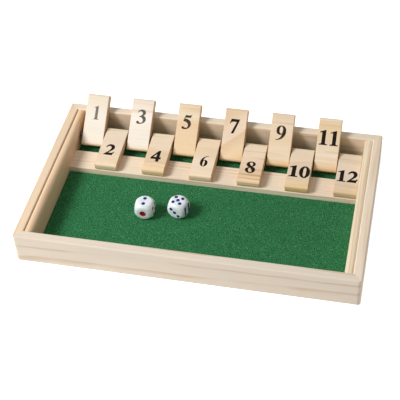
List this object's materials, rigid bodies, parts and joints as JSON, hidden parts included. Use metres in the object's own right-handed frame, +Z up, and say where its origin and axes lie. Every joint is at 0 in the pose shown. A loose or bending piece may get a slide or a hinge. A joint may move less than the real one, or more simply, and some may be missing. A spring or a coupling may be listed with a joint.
{
  "type": "shut the box game",
  "caption": "Open wooden tray with a felt floor, a row of numbered tiles that flip on a steel rod at the back, and loose dice.",
  "frame": {"origin": "middle of the tray's underside, on the base panel's lower face", "axes": "+X along the tray's long side, to the player's right; +Y towards the back wall that the tiles lean on; +Z up"},
  "size_m": [0.29, 0.1764, 0.0427],
  "materials": {
    "pine": "pale pine, planed and sanded, unlacquered",
    "plywood": "thin birch plywood, bare",
    "tile_pine": "pale pine, sanded, clear matt coat",
    "tile_pine_warm": "honey-coloured pine, sanded, clear matt coat",
    "tile_pine_white": "nearly white pine, sanded, clear matt coat",
    "felt": "green pressed felt",
    "steel": "bright drawn steel",
    "die_plastic": "polished white plastic",
    "number_ink": "black printed ink",
    "blue_paint": "blue enamel in the dice's pips",
    "red_paint": "red enamel in the dice's pips"
  },
  "bodies": {
    "tray": {"base_panel": "plywood", "felt_lining": "felt", "front_wall": "pine", "back_wall": "pine", "left_wall": "pine", "right_wall": "pine", "left_liner": "pine", "right_liner": "pine", "tile_rail": "pine", "pivot_rod": "steel", "spacer_washers": "steel"},
    "tile_1": {"tile_1": "tile_pine_white"},
    "tile_2": {"tile_2": "tile_pine"},
    "tile_3": {"tile_3": "tile_pine_white"},
    "tile_4": {"tile_4": "tile_pine"},
    "tile_5": {"tile_5": "tile_pine_warm"},
    "tile_6": {"tile_6": "tile_pine"},
    "tile_7": {"tile_7": "tile_pine_warm"},
    "tile_8": {"tile_8": "tile_pine"},
    "tile_9": {"tile_9": "tile_pine"},
    "tile_10": {"tile_10": "tile_pine"},
    "tile_11": {"tile_11": "tile_pine"},
    "tile_12": {"tile_12": "tile_pine"},
    "left_die": {"left_die": "die_plastic"},
    "right_die": {"right_die": "die_plastic"}
  },
  "joints": [
    {"name": "tile_1_hinge", "type": "hinge", "parent": "tray", "child": "tile_1", "pos_m": [0, 0.0583, 0.0166], "axis": [1, 0, 0], "range_deg": [0, 143.8]},
    {"name": "tile_2_hinge", "type": "hinge", "parent": "tray", "child": "tile_2", "pos_m": [0, 0.0583, 0.0166], "axis": [1, 0, 0], "range_deg": [-143.8, 0]},
    {"name": "tile_3_hinge", "type": "hinge", "parent": "tray", "child": "tile_3", "pos_m": [0, 0.0583, 0.0166], "axis": [1, 0, 0], "range_deg": [0, 143.8]},
    {"name": "tile_4_hinge", "type": "hinge", "parent": "tray", "child": "tile_4", "pos_m": [0, 0.0583, 0.0166], "axis": [1, 0, 0], "range_deg": [-143.8, 0]},
    {"name": "tile_5_hinge", "type": "hinge", "parent": "tray", "child": "tile_5", "pos_m": [0, 0.0583, 0.0166], "axis": [1, 0, 0], "range_deg": [0, 143.8]},
    {"name": "tile_6_hinge", "type": "hinge", "parent": "tray", "child": "tile_6", "pos_m": [0, 0.0583, 0.0166], "axis": [1, 0, 0], "range_deg": [-143.8, 0]},
    {"name": "tile_7_hinge", "type": "hinge", "parent": "tray", "child": "tile_7", "pos_m": [0, 0.0583, 0.0166], "axis": [1, 0, 0], "range_deg": [0, 143.8]},
    {"name": "tile_8_hinge", "type": "hinge", "parent": "tray", "child": "tile_8", "pos_m": [0, 0.0583, 0.0166], "axis": [1, 0, 0], "range_deg": [-143.8, 0]},
    {"name": "tile_9_hinge", "type": "hinge", "parent": "tray", "child": "tile_9", "pos_m": [0, 0.0583, 0.0166], "axis": [1, 0, 0], "range_deg": [0, 143.8]},
    {"name": "tile_10_hinge", "type": "hinge", "parent": "tray", "child": "tile_10", "pos_m": [0, 0.0583, 0.0166], "axis": [1, 0, 0], "range_deg": [-143.8, 0]},
    {"name": "tile_11_hinge", "type": "hinge", "parent": "tray", "child": "tile_11", "pos_m": [0, 0.0583, 0.0166], "axis": [1, 0, 0], "range_deg": [0, 143.8]},
    {"name": "tile_12_hinge", "type": "hinge", "parent": "tray", "child": "tile_12", "pos_m": [0, 0.0583, 0.0166], "axis": [1, 0, 0], "range_deg": [-143.8, 0]},
    {"name": "left_die_lift", "type": "slide", "parent": "tray", "child": "left_die", "axis": [0, 0, 1], "range_m": [0, 0.05]},
    {"name": "right_die_lift", "type": "slide", "parent": "tray", "child": "right_die", "axis": [0, 0, 1], "range_m": [0, 0.05]}
  ]
}
